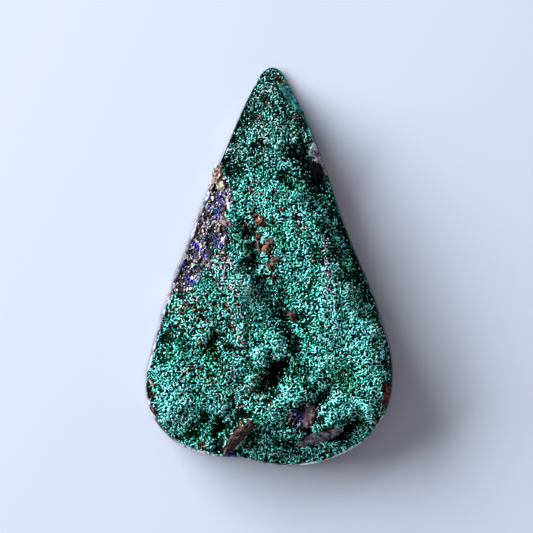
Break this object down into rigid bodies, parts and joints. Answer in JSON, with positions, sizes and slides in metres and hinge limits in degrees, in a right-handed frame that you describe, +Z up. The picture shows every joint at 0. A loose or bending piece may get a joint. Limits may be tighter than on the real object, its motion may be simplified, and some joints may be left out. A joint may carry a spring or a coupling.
{
  "type": "azurite and malachite mineral specimen",
  "caption": "Pear-shaped slab of vein rock with a natural rough crust of green malachite and blue azurite on top, and a ground flat back to lie on.",
  "frame": {"origin": "on the ground flat back, under the middle of the outline's box", "axes": "+Z up out of the natural crust, +Y towards the pear's tip, +X across it, to the right when seen from above with the tip away from the viewer"},
  "size_m": [0.031, 0.0496, 0.008],
  "materials": {
    "crusted_stone": "rough natural malachite crust on brown and grey rock, with the sides and back ground satin"
  },
  "bodies": {
    "root": {"azurite_specimen": "crusted_stone"}
  },
  "joints": []
}
